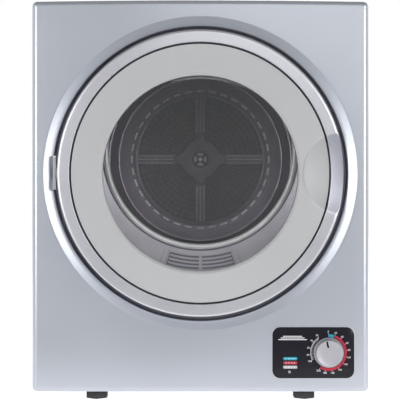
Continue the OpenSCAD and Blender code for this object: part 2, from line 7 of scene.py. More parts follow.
import bmesh
import bpy
import numpy as np
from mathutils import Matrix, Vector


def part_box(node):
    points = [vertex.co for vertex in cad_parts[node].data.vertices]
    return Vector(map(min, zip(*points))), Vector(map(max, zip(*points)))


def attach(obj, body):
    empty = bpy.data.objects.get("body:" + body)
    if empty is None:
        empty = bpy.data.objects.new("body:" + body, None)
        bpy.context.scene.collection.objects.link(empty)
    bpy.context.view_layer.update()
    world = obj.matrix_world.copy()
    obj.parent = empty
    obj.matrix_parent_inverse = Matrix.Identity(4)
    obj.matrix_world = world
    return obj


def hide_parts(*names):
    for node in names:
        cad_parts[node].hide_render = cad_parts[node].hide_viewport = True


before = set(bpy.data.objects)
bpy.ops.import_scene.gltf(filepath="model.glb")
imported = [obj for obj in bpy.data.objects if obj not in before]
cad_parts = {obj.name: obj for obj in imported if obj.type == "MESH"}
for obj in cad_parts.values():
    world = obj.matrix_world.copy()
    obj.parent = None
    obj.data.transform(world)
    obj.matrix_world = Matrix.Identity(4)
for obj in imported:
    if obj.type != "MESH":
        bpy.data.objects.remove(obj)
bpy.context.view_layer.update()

MM = 0.001


def span(node):
    """Lowest and highest corner of a CAD node, in millimetres."""
    low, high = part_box(node)
    return np.array(low) * 1000, np.array(high) * 1000


# ---- places taken from the frame --------------------------------------------------------

PANEL_LOW, PANEL_HIGH = span("front_panel")
RING_LOW, RING_HIGH = span("door_outer_ring")
DRUM_LOW, DRUM_HIGH = span("drum_shell")
FASCIA_LOW, FASCIA_HIGH = span("control_fascia")
KNOB_LOW, KNOB_HIGH = span("timer_knob")
WINDOW_LOW, WINDOW_HIGH = span("door_window")

FACE_Y = PANEL_LOW[1]
FLANGE_Y = PANEL_HIGH[1]
HALF_W = PANEL_HIGH[0]
BASE_Z, TOP_Z = PANEL_LOW[2], PANEL_HIGH[2]
REAR_Y = span("rear_panel")[1][1]
DOOR_R = (RING_HIGH[2] - RING_LOW[2]) / 2
DOOR_Z = (RING_HIGH[2] + RING_LOW[2]) / 2
DOOR_FRONT = RING_LOW[1]
DOOR_BACK = span("door_frame")[1][1]
FLOOR_Y = DOOR_BACK + 2
FLOOR_BACK = FLOOR_Y + 2
DRUM_R = (DRUM_HIGH[0] - DRUM_LOW[0]) / 2
DRUM_Z = (DRUM_HIGH[2] + DRUM_LOW[2]) / 2
DRUM_FRONT, DRUM_BACK = DRUM_LOW[1], DRUM_HIGH[1]
BULKHEAD_Y = span("front_bulkhead")[0][1]
KNOB_X = (KNOB_LOW[0] + KNOB_HIGH[0]) / 2
KNOB_Z = (KNOB_LOW[2] + KNOB_HIGH[2]) / 2
KNOB_CENTRE = (KNOB_X, KNOB_Z)
FILTER_Y = span("filter_cover")[0][1]
WELL_Y = FILTER_Y + 6

DISH_R, RECESS_R, SLOPE_D, LOADING_R = 230.5, 217, 6, 152
PARTING_R, WINDOW_R = 190, 143.5
SCOOP_X, SCOOP_R, SCOOP_DEPTH = 207, 60, 9
MOUTH_R, LIP_R = 138, 4.2
CROWN = 2.2  # how much lower the top edge is at its corners
SHARP_DEG = 32  # edges that turn by more than this are shaded sharp


# ---- outlines and meshes ----------------------------------------------------------------

def arc(x, y, r, start, end, steps):
    """Points on an arc, from angle start to angle end in degrees."""
    angles = np.radians(np.linspace(start, end, steps + 1))
    return [(x + r * math.cos(a), y + r * math.sin(a)) for a in angles]


def fillet(corners, steps=6):
    """A closed outline from (a, b, radius) corners, with each corner rounded to its radius."""
    points = []
    count = len(corners)
    for i, (a, b, radius) in enumerate(corners):
        here = np.array([a, b], float)
        before = np.array(corners[i - 1][:2], float) - here
        after = np.array(corners[(i + 1) % count][:2], float) - here
        if radius <= 0:
            points.append((a, b))
            continue
        before_len, after_len = np.linalg.norm(before), np.linalg.norm(after)
        before, after = before / before_len, after / after_len
        half = math.acos(np.clip(before @ after, -1, 1)) / 2
        reach = min(radius / math.tan(half), 0.49 * before_len, 0.49 * after_len)
        start, end = here + before * reach, here + after * reach
        for t in np.linspace(0, 1, steps + 1):
            blend = start * (1 - t) ** 2 + here * 2 * t * (1 - t) + end * t ** 2
            points.append((blend[0], blend[1]))
    return points


def band(low, high, y_back, y_front, edge=0, steps=6):
    """Section of a flat ring or bar from low to high, with rounded front edges."""
    return fillet([(low, y_back, 0), (low, y_front, edge), (high, y_front, edge), (high, y_back, 0)], steps)


def densify(points, step, closed=True):
    """The same outline with no stretch longer than step."""
    out = []
    last = len(points) if closed else len(points) - 1
    for i in range(last):
        a, b = np.array(points[i]), np.array(points[(i + 1) % len(points)])
        parts = max(1, math.ceil(np.linalg.norm(b - a) / step))
        out += [tuple(a + (b - a) * k / parts) for k in range(parts)]
    return out if closed else out + [points[-1]]


def mesh(name, points, faces, material, body, replaces=()):
    """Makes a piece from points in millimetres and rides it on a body."""
    data = bpy.data.meshes.new(name)
    data.from_pydata([tuple(float(c) * MM for c in p) for p in points], [], faces)
    work = bmesh.new()
    work.from_mesh(data)
    bmesh.ops.remove_doubles(work, verts=work.verts, dist=1e-6)
    bmesh.ops.recalc_face_normals(work, faces=work.faces)
    work.to_mesh(data)
    work.free()
    for polygon in data.polygons:
        polygon.use_smooth = True
    data.set_sharp_from_angle(angle=math.radians(SHARP_DEG))
    data.materials.append(material)
    piece = bpy.data.objects.new(name, data)
    bpy.context.scene.collection.objects.link(piece)
    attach(piece, body)
    if replaces:
        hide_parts(*replaces)
    return piece


def quads(rows, columns, wrap_rows=False, first=0):
    """Faces of a grid whose points are stored row by row, each row a closed loop."""
    faces = []
    for i in range(rows if wrap_rows else rows - 1):
        for j in range(columns):
            a, b = i % rows, (i + 1) % rows
            c, d = j, (j + 1) % columns
            faces.append([first + a * columns + c, first + b * columns + c,
                          first + b * columns + d, first + a * columns + d])
    return faces


def loft(name, rings, material, body, replaces=()):
    """A skin through rings of equal length, with the last ring joined to the first."""
    points = [p for ring in rings for p in ring]
    return mesh(name, points, quads(len(rings), len(rings[0]), True), material, body, replaces)


def ring(x, z, radius, y, angles):
    """Points at one Y round an axis along Y."""
    return [(x + radius * math.cos(a), y, z + radius * math.sin(a)) for a in angles]


def turn(steps):
    """Angles of a full turn, in radians."""
    return [2 * math.pi * k / steps for k in range(steps)]


def lathe(name, outline, x, z, material, body, replaces=(), steps=192, shape=None):
    """Turns an outline of (radius, y) about an axis along Y. shape moves each point at the end."""
    rings = [ring(x, z, radius, y, turn(steps)) for radius, y in outline]
    if shape:
        rings = [[shape(p) for p in one] for one in rings]
    return loft(name, rings, material, body, replaces)


def capped(name, rings, material, body, replaces=()):
    """A solid through rings of equal length, with a flat face at each end."""
    points = [p for one in rings for p in one]
    count = len(rings[0])
    faces = quads(len(rings), count)
    faces += [list(range(count)), [len(points) - 1 - k for k in range(count)]]
    return mesh(name, points, faces, material, body, replaces)


# ---- materials --------------------------------------------------------------------------

def new_material(name):
    material = bpy.data.materials.new(name)
    material.use_nodes = True
    nodes, links = material.node_tree.nodes, material.node_tree.links
    return material, nodes, links, nodes["Principled BSDF"]


def settle(node, **inputs):
    """Sets some of a node's inputs; an underscore stands for a space."""
    for name, value in inputs.items():
        node.inputs[name.replace("_", " ")].default_value = value
    return node


def object_place(nodes):
    """Place on the piece in metres, so that a pattern moves with the piece."""
    return nodes.new("ShaderNodeTexCoord").outputs["Object"]


def noise(nodes, links, vector, scale, detail=4, roughness=0.55):
    """Noise about the middle of 0 to 1."""
    node = settle(nodes.new("ShaderNodeTexNoise"), Scale=scale, Detail=detail, Roughness=roughness)
    links.new(vector, node.inputs["Vector"])
    return node.outputs["Fac"]


def remap(nodes, links, value, low, high):
    """Spreads the middle of a noise over low to high."""
    node = settle(nodes.new("ShaderNodeMapRange"), From_Min=0.3, From_Max=0.7, To_Min=low, To_Max=high)
    links.new(value, node.inputs["Value"])
    return node.outputs["Result"]


def tint(nodes, links, value, dark, light):
    """Blends two colours over the middle of a noise."""
    node = nodes.new("ShaderNodeValToRGB")
    node.color_ramp.elements[0].position = 0.3
    node.color_ramp.elements[1].position = 0.7
    node.color_ramp.elements[0].color = (*dark, 1)
    node.color_ramp.elements[1].color = (*light, 1)
    links.new(value, node.inputs["Fac"])
    return node.outputs["Color"]


def bump(nodes, links, shader, height, strength, distance):
    node = settle(nodes.new("ShaderNodeBump"), Strength=strength, Distance=distance)
    links.new(height, node.inputs["Height"])
    links.new(node.outputs["Normal"], shader.inputs["Normal"])


def shades(color, spread):
    """A darker and a lighter version of a colour."""
    return tuple(c * (1 - spread) for c in color), tuple(min(1, c * (1 + spread)) for c in color)


def surface(name, color, rough, metal=0.0, spread=0.05, rough_spread=0.06, patch=14, grain=900,
            depth=0.00002, strength=0.3, coat=0.0, coat_rough=0.1, specular=0.5, fade=None):
    """A painted, moulded or metal surface: colour in soft patches, fine grain and its own gloss.

    fade = (function giving a 0 to 1 mask, colour) blends a second colour over part of it; every use here is
    painted shade.
    """
    material, nodes, links, shader = new_material(name)
    place = object_place(nodes)
    patches = noise(nodes, links, place, patch)
    fine = noise(nodes, links, place, grain, 2)
    paint = tint(nodes, links, patches, *shades(color, spread))
    # painted shade: the mask blends a darker colour in where shade falls
    if fade:
        mask, other = fade
        mix = nodes.new("ShaderNodeMix")
        mix.data_type = "RGBA"
        links.new(mask(nodes, links), mix.inputs["Factor"])
        links.new(paint, mix.inputs["A"])
        mix.inputs["B"].default_value = (*other, 1)
        paint = mix.outputs["Result"]
    links.new(paint, shader.inputs["Base Color"])
    links.new(remap(nodes, links, patches, rough - rough_spread, rough + rough_spread),
              shader.inputs["Roughness"])
    bump(nodes, links, shader, fine, strength, depth)
    settle(shader, Metallic=metal, Coat_Weight=coat, Coat_Roughness=coat_rough,
           Specular_IOR_Level=specular)
    return material


def ease(nodes, links, value, start, end):
    """0 before start and 1 after end, smooth in between."""
    node = settle(nodes.new("ShaderNodeMapRange"), From_Min=start, From_Max=end)
    node.interpolation_type = "SMOOTHSTEP"
    links.new(value, node.inputs["Value"])
    return node.outputs["Result"]


def behind(start, end):
    """Mask that grows with depth behind the front, for painted shade inside a recess."""
    def mask(nodes, links):
        place = object_place(nodes)
        split = nodes.new("ShaderNodeSeparateXYZ")
        links.new(place, split.inputs["Vector"])
        return ease(nodes, links, split.outputs["Y"], start * MM, end * MM)
    return mask


def within(x, z, inner, outer):
    """Mask that is 1 near an axis along Y and 0 beyond the outer radius."""
    def mask(nodes, links):
        distance, place = radius_from(nodes, links, x, z)
        return ease(nodes, links, distance, outer * MM, inner * MM)
    return mask


def radius_from(nodes, links, x, z):
    """Distance from an axis along Y through x and z, in metres."""
    place = object_place(nodes)
    shift = nodes.new("ShaderNodeVectorMath")
    shift.operation = "SUBTRACT"
    shift.inputs[1].default_value = (x * MM, 0, z * MM)
    flat = nodes.new("ShaderNodeVectorMath")
    flat.operation = "MULTIPLY"
    flat.inputs[1].default_value = (1, 0, 1)
    length = nodes.new("ShaderNodeVectorMath")
    length.operation = "LENGTH"
    links.new(place, shift.inputs[0])
    links.new(shift.outputs["Vector"], flat.inputs[0])
    links.new(flat.outputs["Vector"], length.inputs[0])
    return length.outputs["Value"], place


def spun(name, color, rough, x, z, metal=1.0, lines=2600, spread=0.12, depth=0.00002, strength=0.25):
    """Sheet or turned metal with fine marks in circles about an axis along Y."""
    material, nodes, links, shader = new_material(name)
    distance, place = radius_from(nodes, links, x, z)
    marks = settle(nodes.new("ShaderNodeTexNoise"), Scale=lines, Detail=3)
    marks.noise_dimensions = "1D"
    links.new(distance, marks.inputs["W"])
    patches = noise(nodes, links, place, 22)
    links.new(tint(nodes, links, patches, *shades(color, spread)), shader.inputs["Base Color"])
    links.new(remap(nodes, links, marks.outputs["Fac"], rough - 0.07, rough + 0.07),
              shader.inputs["Roughness"])
    bump(nodes, links, shader, marks.outputs["Fac"], strength, depth)
    shader.inputs["Metallic"].default_value = metal
    return material


def spangled(name, color, rough):
    """Zinc-coated sheet with its crystal pattern."""
    material, nodes, links, shader = new_material(name)
    place = object_place(nodes)
    cells = settle(nodes.new("ShaderNodeTexVoronoi"), Scale=190)
    links.new(place, cells.inputs["Vector"])
    grey = nodes.new("ShaderNodeRGBToBW")
    links.new(cells.outputs["Color"], grey.inputs["Color"])
    links.new(tint(nodes, links, grey.outputs["Val"], *shades(color, 0.035)), shader.inputs["Base Color"])
    links.new(remap(nodes, links, grey.outputs["Val"], rough - 0.03, rough + 0.04),
              shader.inputs["Roughness"])
    bump(nodes, links, shader, noise(nodes, links, place, 300, 3), 0.2, 0.00003)
    shader.inputs["Metallic"].default_value = 0.85
    return material


def glass(name):
    """Clear window: see-through, with reflections that grow towards a grazing view."""
    material, nodes, links, shader = new_material(name)
    place = object_place(nodes)
    weight = settle(nodes.new("ShaderNodeFresnel"), IOR=1.5)
    strength = settle(nodes.new("ShaderNodeMapRange"), To_Min=0.03, To_Max=0.95)
    links.new(weight.outputs["Fac"], strength.inputs["Value"])
    links.new(strength.outputs["Result"], shader.inputs["Alpha"])
    smears = noise(nodes, links, place, 35)
    links.new(remap(nodes, links, smears, 0.02, 0.05), shader.inputs["Roughness"])
    links.new(tint(nodes, links, smears, (0.90, 0.93, 0.94), (0.96, 0.98, 0.98)), shader.inputs["Base Color"])
    shader.inputs["Metallic"].default_value = 1.0
    return material


def plastic(name, color, rough, metal=0.0):
    """Moulded plastic with a fine texture."""
    return surface(name, color, rough, metal, 0.06, 0.05, 25, 900, 0.00003, 0.3)


def ink(name, color, spread=0.06):
    """Printing ink."""
    return surface(name, color, 0.4, 0, spread, 0.04, 90, 900, 0.00001, 0.2)


def felt_material(name, color):
    """Pressed wool."""
    material, nodes, links, shader = new_material(name)
    place = object_place(nodes)
    fibres = noise(nodes, links, place, 420, 8, 0.75)
    links.new(tint(nodes, links, fibres, *shades(color, 0.22)), shader.inputs["Base Color"])
    bump(nodes, links, shader, fibres, 0.8, 0.0004)
    settle(shader, Roughness=0.95, Sheen_Weight=0.4)
    return material


SILVER = (0.47, 0.495, 0.55)
# The front's paint is painted darker behind the dish: painted shade in the pocket the door closes into, which
# also darkens the panel's own sides.
PAINT = surface("silver_paint", SILVER, 0.30, 0.5, 0.02, 0.03, 5, 2600, 0.00001, 0.25, 0.25, 0.12,
                fade=(behind(FACE_Y + SLOPE_D, FACE_Y + SLOPE_D + 6), (0.20, 0.205, 0.24)))
CABINET_PAINT = surface("cabinet_paint", SILVER, 0.36, 0.35, 0.025, 0.03, 6, 1500, 0.00002, 0.3, 0.2, 0.15)
SCOOP_SHADE = within(SCOOP_X, DOOR_Z, SCOOP_R - 3, SCOOP_R)  # the scoop is painted darker on both rings: painted shade in the hollow
DOOR_SILVER = surface("door_silver", (0.60, 0.605, 0.65), 0.30, 0.6, 0.02, 0.03, 7, 2600, 0.00001, 0.25,
                      0.3, 0.1, fade=(SCOOP_SHADE, (0.44, 0.45, 0.51)))
DOOR_GREY = surface("door_grey", (0.47, 0.475, 0.485), 0.42, 0.1, 0.015, 0.03, 8, 1800, 0.00001, 0.2,
                    fade=(SCOOP_SHADE, (0.38, 0.383, 0.39)))
ZINC = spangled("zinc_sheet", (0.44, 0.45, 0.465), 0.42)
STEEL = surface("bright_steel", (0.6, 0.6, 0.61), 0.28, 1.0, 0.08, 0.08, 60, 1200, 0.00002, 0.3)
DRUM_STEEL = spun("drum_steel", (0.29, 0.265, 0.33), 0.32, 0, DRUM_Z)
LIP_STEEL = spun("lip_steel", (0.90, 0.90, 0.93), 0.38, 0, DRUM_Z, 0.35)
FUNNEL = plastic("funnel_plastic", (0.62, 0.60, 0.66), 0.34, 0.3)
RIB = plastic("rib_plastic", (0.52, 0.51, 0.56), 0.36, 0.1)
DARK = surface("dark_plastic", (0.035, 0.036, 0.04), 0.5, 0, 0.15, 0.06, 40, 700, 0.00004, 0.4)
HINGE = surface("hinge_grey", (0.30, 0.305, 0.33), 0.38, 0.6, 0.1, 0.06, 40, 700, 0.00004, 0.4)
MID = plastic("grey_plastic", (0.16, 0.16, 0.19), 0.42)
SCREEN = surface("screen_mesh", (0.085, 0.076, 0.10), 0.55, 0, 0.3, 0.08, 900, 2600, 0.00005, 0.6)
FILTER = surface("filter_plastic", (0.17, 0.155, 0.205), 0.3, 0, 0.08, 0.05, 30, 900, 0.00003, 0.3)
WHITE = surface("white_plastic", (0.72, 0.72, 0.70), 0.45, 0, 0.04, 0.05, 20, 800, 0.00003, 0.3)
GLOSS_BLACK = surface("fascia_gloss", (0.012, 0.012, 0.017), 0.16, 0, 0.1, 0.04, 30, 300, 0.00001, 0.1,
                      0.05, 0.06, 0.2)
RUBBER = surface("rubber", (0.02, 0.02, 0.022), 0.62, 0, 0.2, 0.08, 60, 500, 0.00006, 0.5)
FELT = felt_material("felt", (0.62, 0.60, 0.56))
GLASS = glass("window_glass")
KNOB = spun("knob_silver", (0.40, 0.40, 0.43), 0.42, KNOB_X, KNOB_Z, 0.35, 3200, 0.03)
MOTOR = surface("motor_cast", (0.36, 0.37, 0.38), 0.5, 0.8, 0.12, 0.08, 50, 350, 0.0001, 0.6)
INK_CYAN = ink("ink_cyan", (0.003, 0.31, 0.42))
INK_RED = ink("ink_red", (0.42, 0.008, 0.035))
INK_GREY = ink("ink_grey", (0.45, 0.45, 0.48))
INK_WHITE = ink("ink_white", (0.75, 0.75, 0.77), 0.04)


# ---- cabinet ----------------------------------------------------------------------------

EDGE_R = 8


def crown(point):
    """Lowers the top edge a little towards its corners."""
    x, y, z = point
    share = min(1, max(0, (z - (TOP_Z - 50)) / 50))
    return x, y, z - CROWN * share * (x / HALF_W) ** 2


def edge_angles():
    """Angles about the door's centre, closer together at the corners of the cabinet."""
    angles = list(turn(480))
    for x in (-HALF_W + 4, HALF_W - 4):
        for z in (BASE_Z + 4, TOP_Z - 4):
            middle = math.atan2(z - DOOR_Z, x)
            angles += [(middle + d) % (2 * math.pi) for d in np.linspace(-0.024, 0.024, 23)]
    return sorted(set(angles))


ANGLES = edge_angles()


def cabinet_ring(inset, y):
    """The cabinet's rounded outline, seen from the front, drawn in by inset."""
    corner = max(EDGE_R - inset, 0.6)
    half_w, half_h = HALF_W - inset - corner, (TOP_Z - BASE_Z) / 2 - inset - corner
    middle = (TOP_Z + BASE_Z) / 2
    points = []
    for angle in ANGLES:
        reach = 600.0  # walks in from outside until it meets the rounded outline
        for _ in range(50):
            x = abs(reach * math.cos(angle)) - half_w
            z = abs(DOOR_Z - middle + reach * math.sin(angle)) - half_h
            reach -= math.hypot(max(x, 0), max(z, 0)) + min(max(x, z), 0) - corner
        points.append(crown((reach * math.cos(angle), y, DOOR_Z + reach * math.sin(angle))))
    return points


def front_panel():
    """Front sheet: rounded edge, flat face, sloping dish and the pocket the door closes into."""
    edge = arc(EDGE_R, FACE_Y + EDGE_R, EDGE_R, 180, 270, 8)
    flat = [(EDGE_R + 0.8, FACE_Y), (EDGE_R + 1.6, FACE_Y)]
    outer = [cabinet_ring(inset, y) for inset, y in [(0, FLANGE_Y - 0.4)] + edge + flat]
    dish = fillet([(DISH_R + 5, FACE_Y, 0), (DISH_R + 4, FACE_Y, 0), (DISH_R, FACE_Y, 2),
                   (RECESS_R, FACE_Y + SLOPE_D, 2), (RECESS_R, FLOOR_Y, 2), (LOADING_R, FLOOR_Y, 1),
                   (LOADING_R, FLOOR_BACK, 0),
                   (RECESS_R + 2, FLOOR_BACK, 2), (RECESS_R + 2, FACE_Y + SLOPE_D + 1, 1),
                   (DISH_R + 2, FACE_Y + 2, 2), (DISH_R + 7, FACE_Y + 2, 0)])
    middle = [ring(0, DOOR_Z, r, y, ANGLES) for r, y in densify(dish, 9, closed=False)]
    inner = [cabinet_ring(EDGE_R + 1, FACE_Y + 2), cabinet_ring(2, FACE_Y + EDGE_R + 1),
             cabinet_ring(2, FLANGE_Y - 0.4)]
    loft("front_panel_skin", outer + middle + inner, PAINT, "cabinet",
         ["front_panel"])


def sweep(name, path, section, material, body, replaces=()):
    """Runs a section of (y, outward offset) points along a path of (x, z, normal angle) points."""
    rings = [[crown((x + math.cos(a) * out, y, z + math.sin(a) * out)) for y, out in section]
             for x, z, a in path]
    capped(name, rings, material, body, replaces)


def wrap_path(inset, low):
    """Up the left side, over the top and down the right side of the cabinet."""
    radius = EDGE_R - inset
    left, top = HALF_W - EDGE_R, TOP_Z - EDGE_R
    path = [(-HALF_W + inset, z, math.pi) for z in np.linspace(low, top, 40)]
    for centre, start in ((-left, 180), (left, 90)):
        turned = np.radians(np.linspace(start, start - 90, 10))
        path += [(centre + radius * math.cos(a), top + radius * math.sin(a), a) for a in turned]
        if start == 180:
            path += [(x, TOP_Z - inset, math.pi / 2) for x in np.linspace(-left, left, 42)[1:-1]]
    path += [(HALF_W - inset, z, 0) for z in np.linspace(top, low, 40)[1:]]
    return path


def cabinet_shell():
    """Folded sheet round the sides and top, with a rolled front hem and a bead near the back."""
    front, back = FLANGE_Y + 0.5, REAR_Y - 0.6
    section = fillet([(front, -1.4, 0.3), (front, 0, 0.6), (back - 16, 0, 1), (back - 15, -0.6, 1),
                      (back - 12, -0.6, 1), (back - 11, 0, 1), (back, 0, 0.6), (back, -1.2, 0.3)], 4)
    sweep("cabinet_wrap", wrap_path(0, BASE_Z + 8), section, CABINET_PAINT, "cabinet",
          ["cabinet_shell"])


front_panel()
cabinet_shell()


# ---- door -------------------------------------------------------------------------------

SCOOP_SPHERE = (SCOOP_R ** 2 + SCOOP_DEPTH ** 2) / (2 * SCOOP_DEPTH)
INNER_STEP = 2.5  # how far the inner ring's scoop starts behind the outer ring's
GAP = 2.6  # dark line between the two rings
RING_BACK = DOOR_FRONT + 14


def scoop(start):
    """Gives a function that presses points into the finger scoop, which starts at Y = start."""
    centre_y = start + SCOOP_DEPTH - SCOOP_SPHERE

    def press(point):
        x, y, z = point
        across = (x - SCOOP_X) ** 2 + (z - DOOR_Z) ** 2
        if across > (SCOOP_R + 12) ** 2 or y > RING_BACK - 2:
            return point
        depth = centre_y + math.sqrt(SCOOP_SPHERE ** 2 - across)
        soft = 0.3
        return x, (y + depth + math.sqrt((y - depth) ** 2 + soft ** 2)) / 2 - soft / 4, z

    return press


def door_front():
    """The door's outer and inner rings with the scoop, a black strip in the gap between them as painted
    shade, and the window.
    """
    outer = fillet([(PARTING_R + GAP / 2, RING_BACK, 0), (PARTING_R + GAP / 2, DOOR_FRONT, 0.9),
                    (DOOR_R, DOOR_FRONT, 4), (DOOR_R, DOOR_BACK, 1), (DOOR_R - 2.8, DOOR_BACK, 0.6),
                    (DOOR_R - 2.8, RING_BACK, 0)], 8)
    lathe("door_outer_ring_skin", densify(outer, 1.5), 0, DOOR_Z, DOOR_SILVER, "door",
          ["door_outer_ring"], 720, shape=scoop(DOOR_FRONT))
    inner = fillet([(WINDOW_R, RING_BACK, 0), (WINDOW_R, DOOR_FRONT + 7, 1.2),
                    (WINDOW_R + 3.4, DOOR_FRONT + 4, 1.5), (PARTING_R - GAP / 2, DOOR_FRONT + 1.5, 0.9),
                    (PARTING_R - GAP / 2, RING_BACK, 0)], 8)
    lathe("door_inner_ring_skin", densify(inner, 1.5), 0, DOOR_Z, DOOR_GREY, "door",
          ["door_inner_ring"], 720, shape=scoop(DOOR_FRONT + INNER_STEP))
    # painted shade: a black strip at the bottom of the gap stands in for the shade inside it
    gap = band(PARTING_R - 1.2, PARTING_R + 1.2, RING_BACK + 1, RING_BACK - 4, 0.4, 3)
    lathe("door_parting_shade_strip", gap, 0, DOOR_Z, DARK, "door", steps=240)
    pane = fillet([(0.05, WINDOW_HIGH[1], 0), (0.05, WINDOW_LOW[1], 0), (WINDOW_R + 5, WINDOW_LOW[1], 1),
                   (WINDOW_R + 5, WINDOW_HIGH[1], 1)])
    lathe("door_pane", densify(pane, 12), 0, DOOR_Z, GLASS, "door", ["door_window"])


def door_inside():
    """The moulded back of the door, seen when it is open."""
    low, high = span("door_frame")
    reach = (high[0] - low[0]) / 2
    outline = fillet([(WINDOW_R + 1, low[1] + 1, 0.5), (WINDOW_R + 1, DOOR_BACK, 2.5),
                      (WINDOW_R + 9, DOOR_BACK, 1), (WINDOW_R + 11, DOOR_BACK - 4, 1),
                      (PARTING_R - 12, DOOR_BACK - 4, 1), (PARTING_R - 10, DOOR_BACK - 1, 1),
                      (reach - 2, DOOR_BACK - 1, 2),
                      (reach, DOOR_BACK - 5, 2), (reach, low[1] + 1, 0.5)])
    lathe("door_liner", densify(outline, 4), 0, DOOR_Z, MID, "door",
          ["door_frame"], 240)


door_front()
door_inside()


# ---- passage between the door and the drum ----------------------------------------------

GRILLE_IN, GRILLE_OUT, GRILLE_HALF = 155, 181, 18  # radii about the drum's axis and half angle
FUNNEL_LOW_R = LOADING_R + DRUM_Z - DOOR_Z


def about_drum(radius, angle, y):
    """A point at a radius and an angle about the drum's axis."""
    return radius * math.cos(angle), y, DRUM_Z + radius * math.sin(angle)


def funnel_y(radius):
    """Y of the sloping passage at a distance from the drum's axis."""
    share = (radius - (MOUTH_R + 11)) / (FUNNEL_LOW_R - (MOUTH_R + 11))
    return BULKHEAD_Y - 2 + share * (FLOOR_BACK - BULKHEAD_Y + 2)


def passage_radius(angle):
    """Distance from the drum's axis to the loading opening, at an angle about that axis."""
    drop = DRUM_Z - DOOR_Z
    down = -drop * math.sin(angle)
    return down + math.sqrt(down ** 2 - drop ** 2 + (LOADING_R + 0.6) ** 2)


def funnel():
    """The sloping passage from the loading opening to the drum's mouth, and the wall round it."""
    angles = turn(360)
    edge = [max(MOUTH_R + 11.4, passage_radius(a)) for a in angles]
    rings = []
    slope = [(share, 0) for share in np.linspace(0.04, 1, 12)]
    for share, lift in [(0, 0.8), (0, 0)] + slope + [(1, 0.8), (0.5, 1), (0, 1.2)]:
        one = []
        for angle, reach in zip(angles, edge):
            radius = (MOUTH_R + 10.6) * (1 - share) + reach * share
            one.append(about_drum(radius, angle, funnel_y(radius) + lift))
        rings.append(one)
    loft("funnel_skin", rings, FUNNEL, "cabinet", ["door_funnel"])
    walls = []
    for y, grow in [(FLOOR_BACK, 0.2), (FLOOR_BACK + 1, 0), (BULKHEAD_Y - 0.4, 0), (BULKHEAD_Y, 0.6),
                    (BULKHEAD_Y, 1.9), (FLOOR_BACK, 1.9)]:
        walls.append([about_drum(max(LOADING_R, passage_radius(a) - 0.6) + grow, a, y) for a in angles])
    loft("passage_wall", walls, FUNNEL, "cabinet")


def grille():
    """Raised frame in the passage's floor with arched slots in two columns, over a dark floor that is painted
    shade seen through the slots.
    """
    half = GRILLE_HALF

    def arched(name, r_in, r_out, low, high, raise_by, material):
        span_deg = np.linspace(low, high, 28)
        section = band(r_in, r_out, 0, raise_by, 0.6, 3)
        rings = [[about_drum(r, math.radians(a - 90), funnel_y(r) - up) for r, up in section]
                 for a in span_deg]
        capped(name, rings, material, "cabinet")

    for i, radius in enumerate([160.5, 166, 171.5, 177]):
        for side, low, high in (("left", -half + 1.4, -0.8), ("right", 0.8, half - 1.4)):
            arched(f"grille_bar_{side}_{i + 1}", radius - 1.5, radius + 1.5, low, high, 1.3, RIB)
    for side, low, high in (("left", -half - 0.2, -half + 1), ("right", half - 1, half + 0.2),
                            ("middle", -0.8, 0.8)):
        arched(f"grille_rib_{side}", GRILLE_IN, GRILLE_OUT, low, high, 1.8, RIB)
    arched("grille_top", GRILLE_IN - 0.6, GRILLE_IN + 1.4, -half, half, 1.6, RIB)
    for side, at in (("left", -half - 2.6), ("right", half + 1.8)):
        arched(f"grille_edge_{side}", GRILLE_IN + 1, GRILLE_OUT - 2, at, at + 0.8, 1.2, RIB)
    # painted shade: the dark floor under the bars stands in for the shade seen through the slots
    arched("grille_slot_shade", GRILLE_IN, GRILLE_OUT, -half, half, 0.12, MID)
    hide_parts("air_grille")


funnel()
grille()


# ---- drum -------------------------------------------------------------------------------

WELL_R, WELL_FLOOR_R, HOLE_COUNT = 158, 145, 36
BEAD_PLACES, BEAD_HALF, BEAD_RISE = (-95, -50, -5, 40, 80), 5, 1.6  # rolled beads of the barrel
FILTER_R, BOSS_R = 117, 38


def drum():
    """The barrel with its beads, and the front wall with its rolled lip."""
    shell = [(DRUM_R, DRUM_FRONT), (DRUM_R, DRUM_BACK), (DRUM_R - 1, DRUM_BACK)]
    inner = []
    for y in np.linspace(DRUM_BACK, DRUM_FRONT, 120):
        bead = sum(max(0, 1 - ((y - place) / BEAD_HALF) ** 2) for place in BEAD_PLACES)
        inner.append((DRUM_R - 1 - BEAD_RISE * bead, y))
    lathe("drum_barrel", shell + inner, 0, DRUM_Z, DRUM_STEEL, "drum", ["drum_shell"], 240)
    lip_y, neck = DRUM_FRONT - 7, MOUTH_R + LIP_R
    lip = arc(neck, lip_y, LIP_R - 0.1, 78, 450 - 78, 28)
    wall = fillet([(neck + 0.9, lip_y + LIP_R, 1), (neck + 0.9, DRUM_FRONT, 2), (165, DRUM_FRONT, 2),
                   (168, DRUM_FRONT + 3, 2), (176, DRUM_FRONT + 3, 2), (179, DRUM_FRONT, 2),
                   (DRUM_R - 1.2, DRUM_FRONT + 0.2, 0), (DRUM_R - 1.2, DRUM_FRONT + 1.2, 0),
                   (180, DRUM_FRONT + 1, 2), (177, DRUM_FRONT + 4, 2), (167, DRUM_FRONT + 4, 2),
                   (164, DRUM_FRONT + 1, 2), (neck - 0.5, DRUM_FRONT + 1, 2), (neck - 0.5, lip_y + LIP_R, 1)])
    lathe("drum_front_lip", lip, 0, DRUM_Z, LIP_STEEL, "drum", ["drum_front_wall"], 360)
    lathe("drum_front_cone", densify(wall, 5), 0, DRUM_Z, DRUM_STEEL, "drum", steps=240)


